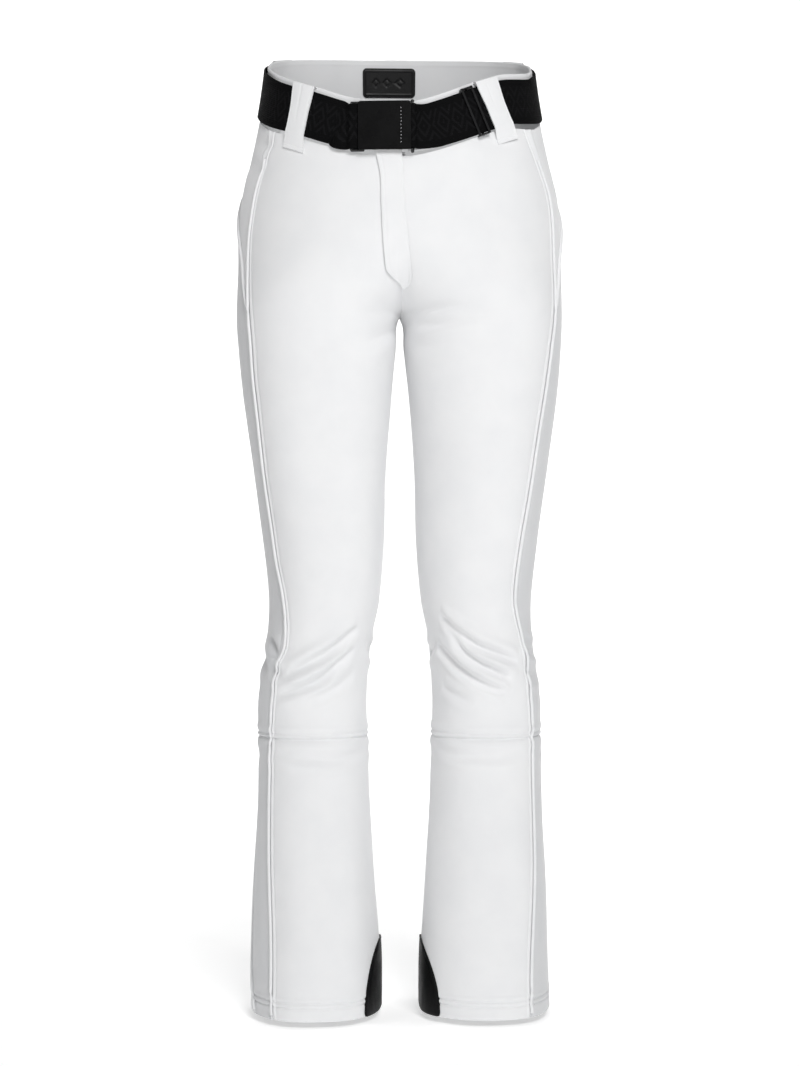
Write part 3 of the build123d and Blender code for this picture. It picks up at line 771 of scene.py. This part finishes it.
def belt_end(name, wire_x, theta, loose):
    """The belt's end: sewn round the wire, with the fold standing loose of it by a distance, then
    pinched together and flat to where the belt turns round the waist."""
    sign = 1 if theta > 0 else -1
    here, outward, up = (v[0] for v in ring_frame(np.array([float(theta)]), BELT_DROP, BELT_OUT))
    wire = np.array(BUCKLE @ Vector((wire_x, 0, 0)))
    away = BUCKLE_X * sign

    def beside(places):
        return [wire + away * x + BUCKLE_FRONT * y for x, y in places]

    path = beside([(2.4, -2.7), (1.2, -2.8)])
    for a in np.linspace(0, pi, 17):  # round the wire, from behind it to in front of it
        slack = loose * min(1, 3 * sin(a))
        path.append(wire - BUCKLE_FRONT * FOLD * cos(a) - away * (FOLD * sin(a) + slack))
    path += beside([(1.5, 2.6), (2.9, 1.0), (3.9, -0.7), (5.2, -1.6), (7, -1.9)])
    start = path[-1]
    leave = ring_frame(np.array([theta + 2.0 * sign]), BELT_DROP, BELT_OUT)[0][0] - here
    leave *= TAIL_PULL / np.linalg.norm(leave)
    for k in range(1, TAIL + 1):
        t = k / TAIL
        h = t * t * (3 - 2 * t)
        pull = away * TAIL_PULL * t * (1 - t) ** 2 - leave * t * t * (1 - t)
        path.append(start * (1 - h) + here * h + pull)
    path = np.array(path)
    tangent = np.gradient(path, axis=0)
    tangent[-1] = leave
    rings = []
    for i, (place, d) in enumerate(zip(path, tangent)):
        t = max(0.0, (i - (len(path) - 1 - TAIL)) / TAIL)
        d = d / np.linalg.norm(d)
        u = BUCKLE_UP * (1 - t) + up * t
        u = u - d * (u @ d)
        u /= np.linalg.norm(u)
        o = np.cross(u, d) * -sign
        if i > len(path) - TAIL:  # eases into the direction that the belt has round the waist
            o = o * (1 - t) + outward * t
            o /= np.linalg.norm(o)
            u = u * (1 - t) + up * t
        rings.append(place + o * belt_outline[:, :1] + u * belt_outline[:, 1:])
    steps = np.linalg.norm(np.diff(path, axis=0), axis=1)
    run = np.concatenate([[0], np.cumsum(steps)]) * 0.001
    size = (len(path), len(belt_outline))
    across = belt_outline[:, 1] * 0.001
    uv = np.stack([np.broadcast_to(run[:, None], size), np.broadcast_to(across, size)], -1)
    cuts[name] = (BELT_WIDTH * 0.001, run[-1], BELT_WIDTH * 0.001 * run[-1])
    piece = sweep(name, rings, uv=uv)
    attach(piece, "seat")
    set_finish(piece, "belt_elastic")
    return piece


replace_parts(belt_end("belt_end_left_piece", 33, BELT_FROM, 0), "belt_end_left")
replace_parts(belt_end("belt_end_right_piece", -33, BELT_TO - 360, 4.3), "belt_end_right")

LABEL_HEIGHT, LABEL_DROP, LABEL_CORNER = 34.0, 26.0, 5.0
LABEL_AT, LABEL_REACH = 183.3, 10.1  # angle of its middle, and from there to its ends
LABEL_DEGREE = 3.0  # millimetres along the label
LOZENGE = 13.0  # from one to the next


def label_corners(theta):
    """Share of the label's height left at each place along it, for its rounded corners."""
    inside = np.clip((LABEL_REACH - np.abs(theta - LABEL_AT)) * LABEL_DEGREE, 0, LABEL_CORNER)
    cut = LABEL_CORNER - np.sqrt(LABEL_CORNER**2 - (LABEL_CORNER - inside) ** 2)
    return 1 - cut * 2 / LABEL_HEIGHT


def label_relief(theta, y):
    """Embossed border and a row of three plain lozenges on the label's face."""
    u = (theta - LABEL_AT) * LABEL_DEGREE
    border = np.maximum(np.abs(u) - 27, np.abs(y) - 13.6)
    cell = np.abs((u + 4.5 * LOZENGE) % LOZENGE - LOZENGE / 2) + np.abs(y) * 0.9
    lozenge = 0.6 * smooth((5.6 - cell) / 0.9) - 0.5 * smooth((3.2 - cell) / 0.9)
    return lozenge * (np.abs(u) < 1.5 * LOZENGE) - 0.45 * ridge(border, 0, 0.7)


label_places = LABEL_AT + LABEL_REACH * np.sin(np.linspace(-pi / 2, pi / 2, 110))
label_outline = rounded(1.0, LABEL_HEIGHT, 0.45, 3, 44)
label = band("inner_label_piece", label_places, LABEL_DROP, -3.9, label_outline, label_relief, label_corners)
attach(label, "seat")
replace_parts(label, "inner_label")
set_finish(label, "label_black")


# ------------------------------------------------------------------ belt loops
def belt_loop(name, theta, foot, skew):
    """A wide flat loop: sewn under the rim, over the belt, and down on the hip panel, where it
    stands out by foot. skew leans it sideways."""
    here, outward, up = (v[0] for v in ring_frame(np.array([float(theta)]), BELT_DROP, 0.0))
    along = np.cross(up, outward)
    face = BELT_OUT + 1.9
    path = [
        (0.9, 27.6), (2.6, 28.6), (face - 0.3, 28.2), (face + 0.5, 26.6), (face + 0.3, 20),
        (face, 8), (face, -6), (face + 0.1, -18), (face + 0.5, -26), (face - 0.6, -31),
        (foot + 2.2, -36), (foot + 1.2, -40.5), (foot + 0.9, -44.0),
    ]
    t = np.linspace(0, len(path) - 1, 100)
    rows = [(k, *p) for k, p in enumerate(path)]
    x, y = (curve(rows, t, k)[:, None] for k in (1, 2))
    dx, dy = np.gradient(x, axis=0), np.gradient(y, axis=0)
    nx, ny = dy / np.hypot(dx, dy), -dx / np.hypot(dx, dy)
    c = np.linspace(-1, 1, 27)[None, :]
    half = 12.0 + 1.9 * smooth((y + 5) / 30) + 1.6 * smooth((-y - 22) / 20)
    crown = 0.35 * (1 - c * c) - 0.3 * ridge((1 - np.abs(c)) * 12.5, 2.2, 0.7)
    stitch = -0.45 * ridge(y, -39.6, 0.8) - 0.3 * ridge(y, 26.2, 0.7)
    fold = -0.5 * ridge(c, -0.15, 0.08) * smooth((y + 24) / 30)
    bend = -((c * half) ** 2) / 600
    out = x + (0.9 + crown + stitch + fold) * np.abs(nx) + bend
    across = along * (c * half - skew * y)[..., None]
    outer = here + outward * out[..., None] + up * y[..., None] + across
    inner = here + outward * (out - 1.5)[..., None] + up * (y - ny * 0.4)[..., None] + across
    piece = shell(name, outer, inner)
    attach(piece, "seat")
    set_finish(piece, "softshell_white")
    return piece


for name, theta, foot, node, skew in (
    ("belt_loop_front_left", 36.4, 0.6, "front_belt_loops", 0.035),
    ("belt_loop_front_right", -42.3, 0.6, "front_belt_loops", 0.19),
    ("belt_loop_side_left", 122, 3.0, "side_belt_loops", 0),
    ("belt_loop_side_right", -122, 3.0, "side_belt_loops", 0),
    ("belt_loop_back", 180, 3.0, "back_belt_loops", 0),
):
    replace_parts(belt_loop(name, theta, foot, skew), node)

# ------------------------------------------------------------------ fly
# Height, left edge and right edge across.
FLAP = [(-255.5, -0.5, 3), (-253, -2.5, 6.4), (-248, -8.5, 8.6), (-244, -13.3, 9), (-240.5, -17.3, 8.9),
        (-238, -19.2, 8.6), (-235, -19.9, 8.2), (-207, -23, 4.8), (-166, -25.2, 1), (-137, -26, -0.8),
        (-122, -28.5, -1.8), (-108.5, -32, -2.4)]


def front_depth(x, z):
    """Depth of the cloth's face near the middle of the front."""
    cx, cy, ax, ay = leg_shape(z)
    share = np.clip(np.abs(np.maximum(np.abs(x), 5) - cx) / ax, 0, 1)
    return cy - ay * (1 - share**ROUND) ** (1 / ROUND)


def fly_piece(name, low, high, gap, thickness, widen=0.0, detail=True):
    """A strip of cloth along the fly, a gap in front of the panels' face."""
    z = np.linspace(low, high, 110 if detail else 30)
    left, right = curve(FLAP, z, 1) - widen, curve(FLAP, z, 2) + widen
    u = stations(30, [0, 0.6, 1.4, 2.6], 1.2) if detail else np.linspace(0, 1, 12)
    x = left[:, None] + (right - left)[:, None] * u[None, :]
    zz = np.broadcast_to(z[:, None], x.shape).copy()
    y = front_depth(x, zz) - gap
    rise = np.zeros_like(x)
    if detail:
        from_left = x - left[:, None]
        from_right = right[:, None] - x
        from_low = (zz - low) * 0.8
        edge = np.minimum(from_left, from_low)
        rise += 0.5 * smooth(edge / 1.6) - 0.35 * ridge(edge, 4.5, 0.7)
        rise += -0.4 * ridge(from_right, 3, 0.7) - 0.9 * (1 - smooth(from_right / 1.8))
        rise += 0.35 * np.sin(zz / 17.0) * smooth(from_left / 8) * np.exp(-from_left / 25)
    outer = np.stack([x, y - thickness - rise, zz], -1)
    inner = np.stack([x, y, zz], -1)
    piece = shell(name, outer, inner)
    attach(piece, "seat")
    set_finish(piece, "softshell_white")
    return piece


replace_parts(fly_piece("fly_flap_piece", -256, -108.5, 1.3, 1.5), "fly_flap")
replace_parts(fly_piece("fly_underlap_piece", -204, -114, -14, 1.5, 6, detail=False), "fly_underlap")

# the closed zip behind the flap: two woven tapes with a coil sewn along each inner edge
ZIP_X, ZIP_DEPTH = -8.0, 5.0
zip_low, zip_high = (np.array([ZIP_X, front_depth(ZIP_X, z) + ZIP_DEPTH, z]) for z in (-200.0, -116.0))
zip_length = np.linalg.norm(zip_high - zip_low)
zip_up = (zip_high - zip_low) / zip_length
zip_out = np.cross(zip_up, [-1.0, 0.0, 0.0])


def zip_point(x, out, up):
    """Points beside the zip's middle line: across, towards the front, and along it."""
    x, out, up = np.broadcast_arrays(x, out, up)
    return zip_low + x[..., None] * [1.0, 0.0, 0.0] + out[..., None] * zip_out + up[..., None] * zip_up


COIL_PITCH = 1.3
for word, sign in (("left", 1), ("right", -1)):
    along = np.linspace(0, zip_length + 6, 90)[:, None]
    across = np.linspace(1.0, 9.4, 15)[None, :]
    bead = 0.22 * ridge(across, 3.4, 0.5) + 0.05 * np.sin(along * 4.4)
    x = sign * across
    tape = shell(f"zip_tape_{word}_piece", zip_point(x, 0.3 + bead, along), zip_point(x, -0.35, along))
    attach(tape, "seat")
    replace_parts(tape, "fly_zip_tape")
    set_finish(tape, "softshell_white")
    turn = np.linspace(0, 2 * pi * (zip_length - 6.6) / COIL_PITCH, 640)
    up = 3.3 + turn * COIL_PITCH / (2 * pi)
    line = zip_point(sign * (1.45 + 0.7 * np.cos(turn)), 0.9 * np.sin(turn), up)
    coil = tube(f"zip_coil_{word}_piece", line, 0.28, 6)
    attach(coil, "seat")
    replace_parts(coil, "fly_zip_teeth")
    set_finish(coil, "zip_plastic")


# ------------------------------------------------------------------ materials
def material(name):
    """A new material, its node tree and its shader."""
    m = bpy.data.materials.new(name)
    m.use_nodes = True
    tree = m.node_tree
    shader = tree.nodes["Principled BSDF"]
    return m, tree, shader


def link(tree, a, b):
    tree.links.new(a, b)


def noise_node(tree, vector, scale, detail=3.0, rough=0.5):
    n = tree.nodes.new("ShaderNodeTexNoise")
    n.inputs["Scale"].default_value = scale
    n.inputs["Detail"].default_value = detail
    n.inputs["Roughness"].default_value = rough
    link(tree, vector, n.inputs["Vector"])
    return n


def wave_node(tree, vector, scale, axis, distort=0.0):
    n = tree.nodes.new("ShaderNodeTexWave")
    n.wave_type = "BANDS"
    n.bands_direction = axis
    n.inputs["Scale"].default_value = scale
    n.inputs["Distortion"].default_value = distort
    link(tree, vector, n.inputs["Vector"])
    return n


def math_node(tree, kind, a, b=None):
    n = tree.nodes.new("ShaderNodeMath")
    n.operation = kind
    for socket, value in zip(n.inputs, (a, b)):
        if isinstance(value, (int, float)):
            socket.default_value = value
        elif value is not None:
            link(tree, value, socket)
    return n.outputs[0]


def ramp(tree, factor, low, high):
    """A colour between two, or a grey as a value, over the middle of a factor's span."""
    n = tree.nodes.new("ShaderNodeValToRGB")
    n.color_ramp.elements[0].position, n.color_ramp.elements[1].position = 0.35, 0.65
    n.color_ramp.elements[0].color = (*low, 1)
    n.color_ramp.elements[1].color = (*high, 1)
    link(tree, factor, n.inputs["Fac"])
    return n.outputs["Color"]


def bump(tree, height, strength, distance, shader, below=None):
    n = tree.nodes.new("ShaderNodeBump")
    n.inputs["Strength"].default_value = strength
    n.inputs["Distance"].default_value = distance
    link(tree, height, n.inputs["Height"])
    if below is not None:
        link(tree, below, n.inputs["Normal"])
    if shader is not None:
        link(tree, n.outputs["Normal"], shader.inputs["Normal"])
    return n.outputs["Normal"]


def coordinates(tree, kind="Object"):
    return tree.nodes.new("ShaderNodeTexCoord").outputs[kind]


def softshell(name, low, high, rough=0.82, sheen=0.35, pitch=1.0):
    """Matt woven cloth: fine crossed threads, a faint mottle and soft sheen."""
    m, tree, shader = material(name)
    place = coordinates(tree)
    mottle = noise_node(tree, place, 26, 4)
    link(tree, ramp(tree, mottle.outputs["Fac"], low, high), shader.inputs["Base Color"])
    across = wave_node(tree, place, 420 / pitch, "DIAGONAL", 0.6)
    up = wave_node(tree, place, 420 / pitch, "Z", 0.6)
    threads = math_node(tree, "MULTIPLY", across.outputs["Fac"], up.outputs["Fac"])
    grain = noise_node(tree, place, 1500 / pitch, 2)
    height = math_node(tree, "ADD", threads, grain.outputs["Fac"])
    soft = noise_node(tree, place, 55, 3)
    first = bump(tree, soft.outputs["Fac"], 0.10, 0.0012, None)
    bump(tree, height, 0.16, 0.0004, shader, first)
    gloss = ramp(tree, grain.outputs["Fac"], (rough - 0.06,) * 3, (rough + 0.06,) * 3)
    link(tree, gloss, shader.inputs["Roughness"])
    shader.inputs["Sheen Weight"].default_value = sheen
    shader.inputs["Sheen Roughness"].default_value = 0.5
    return m


white = softshell("softshell_white", (0.825, 0.83, 0.84), (0.85, 0.853, 0.86))
# The side panels are the same white cloth drawn darker: painted shade for the panels turned away from the
# light.
side_painted_shade = softshell("softshell_side", (0.66, 0.668, 0.68), (0.685, 0.69, 0.70))
piping_white = softshell("piping_white", (0.84, 0.845, 0.855), (0.87, 0.873, 0.88), 0.6, 0.1, 0.7)
gaiter_white = softshell("gaiter_cloth", (0.68, 0.69, 0.70), (0.72, 0.73, 0.74), 0.7, 0.1, 0.8)


def webbing_material():
    """Black elastic: lengthwise ribs, fine crosswise picks, and faint lozenges, tone on tone."""
    m, tree, shader = material("belt_elastic")
    uv = coordinates(tree, "UV")
    ribs = wave_node(tree, uv, 150, "Y", 0.15)
    picks = wave_node(tree, uv, 380, "X", 0.3)
    split = tree.nodes.new("ShaderNodeSeparateXYZ")
    link(tree, uv, split.inputs[0])
    # lozenges along the belt's middle, as rings of a folded distance in metres
    u = math_node(tree, "PINGPONG", split.outputs["X"], 0.017)
    u = math_node(tree, "SUBTRACT", u, 0.0085)
    u = math_node(tree, "ABSOLUTE", u)
    v = math_node(tree, "ABSOLUTE", split.outputs["Y"])
    total = math_node(tree, "ADD", math_node(tree, "MULTIPLY", u, 1.7), v)
    ring = math_node(tree, "PINGPONG", total, 0.0055)
    inside = math_node(tree, "LESS_THAN", v, 0.017)
    mark = math_node(tree, "MULTIPLY", math_node(tree, "LESS_THAN", ring, 0.0022), inside)
    speck = noise_node(tree, uv, 900, 2)
    base = ramp(tree, speck.outputs["Fac"], (0.002, 0.002, 0.0022), (0.0038, 0.0038, 0.0042))
    mix = tree.nodes.new("ShaderNodeMix")
    mix.data_type = "RGBA"
    link(tree, mark, mix.inputs["Factor"])
    link(tree, base, mix.inputs["A"])
    mix.inputs["B"].default_value = (0.0068, 0.0068, 0.0074, 1)
    link(tree, mix.outputs["Result"], shader.inputs["Base Color"])
    fine = math_node(tree, "MULTIPLY", picks.outputs["Fac"], 0.4)
    height = math_node(tree, "ADD", ribs.outputs["Fac"], fine)
    height = math_node(tree, "ADD", height, math_node(tree, "MULTIPLY", mark, 0.25))
    bump(tree, height, 0.55, 0.0006, shader)
    link(tree, ramp(tree, speck.outputs["Fac"], (0.62,) * 3, (0.78,) * 3), shader.inputs["Roughness"])
    shader.inputs["Specular IOR Level"].default_value = 0.06
    return m


def hard(name, low, high, rough, metallic=0.0, coat=0.0, scale=300, strength=0.05, level=0.5):
    """Moulded or lacquered pieces: a faint orange-peel and small changes of gloss."""
    m, tree, shader = material(name)
    place = coordinates(tree)
    peel = noise_node(tree, place, scale, 3)
    link(tree, ramp(tree, peel.outputs["Fac"], low, high), shader.inputs["Base Color"])
    wear = noise_node(tree, place, 60, 4)
    gloss = ramp(tree, wear.outputs["Fac"], (rough * 0.9,) * 3, (rough * 1.12,) * 3)
    link(tree, gloss, shader.inputs["Roughness"])
    bump(tree, peel.outputs["Fac"], strength, 0.0003, shader)
    shader.inputs["Metallic"].default_value = metallic
    shader.inputs["Coat Weight"].default_value = coat
    shader.inputs["Specular IOR Level"].default_value = level
    return m


elastic_black = webbing_material()
buckle_gloss = hard("buckle_gloss", (0.002, 0.002, 0.0022), (0.003, 0.003, 0.0033), 0.28, level=0.06)
metal_black = hard("black_metal", (0.006, 0.006, 0.0065), (0.010, 0.010, 0.011), 0.22, level=0.45)
stud_steel = hard("stud_steel", (0.30, 0.30, 0.31), (0.42, 0.42, 0.43), 0.2, 1.0)
label_black = hard("label_black", (0.005, 0.005, 0.0055), (0.009, 0.009, 0.0095), 0.42, 0, 0, 900, 0.35, 0.22)
guard_black = hard("guard_black", (0.003, 0.003, 0.0033), (0.006, 0.006, 0.0066), 0.5, 0, 0, 1100, 0.5, 0.12)
zip_lacquer = hard("zip_lacquer", (0.72, 0.73, 0.74), (0.8, 0.8, 0.81), 0.35, 0.0, 0.3)
zip_plastic = hard("zip_plastic", (0.74, 0.75, 0.76), (0.82, 0.82, 0.83), 0.5)
rubber_grey = hard("gaiter_rubber", (0.05, 0.05, 0.055), (0.08, 0.08, 0.085), 0.55, 0, 0, 800, 0.4)

BY_SLOT = {
    "softshell_white": white,
    "belt_elastic": elastic_black,
    "buckle_gloss": buckle_gloss,
    "black_metal": metal_black,
    "stud_black": stud_steel,
    "label_black": label_black,
    "guard_black": guard_black,
    "zip_metal": zip_lacquer,
    "zip_plastic": zip_plastic,
    "gaiter_rubber": rubber_grey,
    "gaiter_white": gaiter_white,
}
slots = {s["node"]: s["material_slot"] for s in frame["record"]["subparts"]}
for node_name, obj in nodes.items():
    obj.data.materials.clear()
    obj.data.materials.append(BY_SLOT[slots[node_name]])
for obj in [o for o in scene.objects if o.type == "MESH" and "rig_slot" in o]:
    obj.data.materials.clear()
    chosen = BY_SLOT[obj["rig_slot"]]
    # Side panels take the darker copy of the white cloth: painted shade.
    if obj.name.startswith("side_"):
        chosen = side_painted_shade
    if "piping" in obj.name:
        chosen = piping_white
    obj.data.materials.append(chosen)
for name in ("buckle_plate", "belt_adjuster", "fly_zip_slider", "fly_zip_pull"):
    bevel = nodes[name].modifiers.new("edges", "BEVEL")
    bevel.width, bevel.segments = 0.0003, 2
    bevel.limit_method = "ANGLE"

# ------------------------------------------------------------------ floor and light
FLOOR, FLOOR_HALF, FLOOR_DEPTH = -1.066, 6.0, 4.0
SWEEP, BACKDROP = 1.5, 7.0  # radius of the curve up from the floor, and the backdrop's top
mesh = bpy.data.meshes.new("floor")
profile = [(-FLOOR_HALF, FLOOR), (FLOOR_DEPTH, FLOOR)]
for a in range(6, 91, 6):
    profile.append((FLOOR_DEPTH + SWEEP * sin(radians(a)), FLOOR + SWEEP - SWEEP * cos(radians(a))))
profile.append((FLOOR_DEPTH + SWEEP, FLOOR + BACKDROP))
verts = [(x, y, z) for x in (-FLOOR_HALF, FLOOR_HALF) for y, z in profile]
n = len(profile)
mesh.from_pydata(verts, [], [(i, i + 1, n + i + 1, n + i) for i in range(n - 1)])
mesh.polygons.foreach_set("use_smooth", [True] * len(mesh.polygons))
floor = bpy.data.objects.new("floor", mesh)
scene.collection.objects.link(floor)
floor_material = softshell("floor_pale", (0.90, 0.90, 0.90), (0.92, 0.92, 0.92), 0.9, 0.0, 4.0)
floor_shader = floor_material.node_tree.nodes["Principled BSDF"]
floor_shader.inputs["Emission Color"].default_value = (1, 1, 1, 1)
floor_shader.inputs["Emission Strength"].default_value = 0.42
mesh.materials.append(floor_material)

world = bpy.data.worlds.new("studio")
scene.world = world
world.use_nodes = True
sky = world.node_tree.nodes["Background"]
sky.inputs["Color"].default_value = (1, 1, 1, 1)
sky.inputs["Strength"].default_value = 0.20


def area_light(name, place, aim, size, power_watts):
    light = bpy.data.lights.new(name, "AREA")
    light.shape = "RECTANGLE"
    light.size, light.size_y = size
    light.energy = power_watts
    obj = bpy.data.objects.new(name, light)
    obj.location = place
    obj.rotation_euler = (Vector(aim) - Vector(place)).to_track_quat("-Z", "Y").to_euler()
    scene.collection.objects.link(obj)


area_light("front", (0.6, -2.9, 1.7), (0, 0, -0.5), (1.2, 1.4), 70)
area_light("low", (0.2, -2.6, -0.9), (0, 0, -0.75), (1.6, 0.5), 5)
area_light("backdrop", (0, 1.6, 2.2), (0, 5.2, 0.2), (4.5, 2.0), 70)
area_light("backdrop_low", (0, 1.6, 0.9), (0, 3.6, -1.1), (4.0, 1.2), 22)
scene.view_settings.view_transform = "Standard"
scene.view_settings.look = "None"

NARROWEST_SHEET = 0.01  # metres; the zip's two tapes are narrower
for name, (width, length, area) in cuts.items():
    if width < NARROWEST_SHEET:
        continue
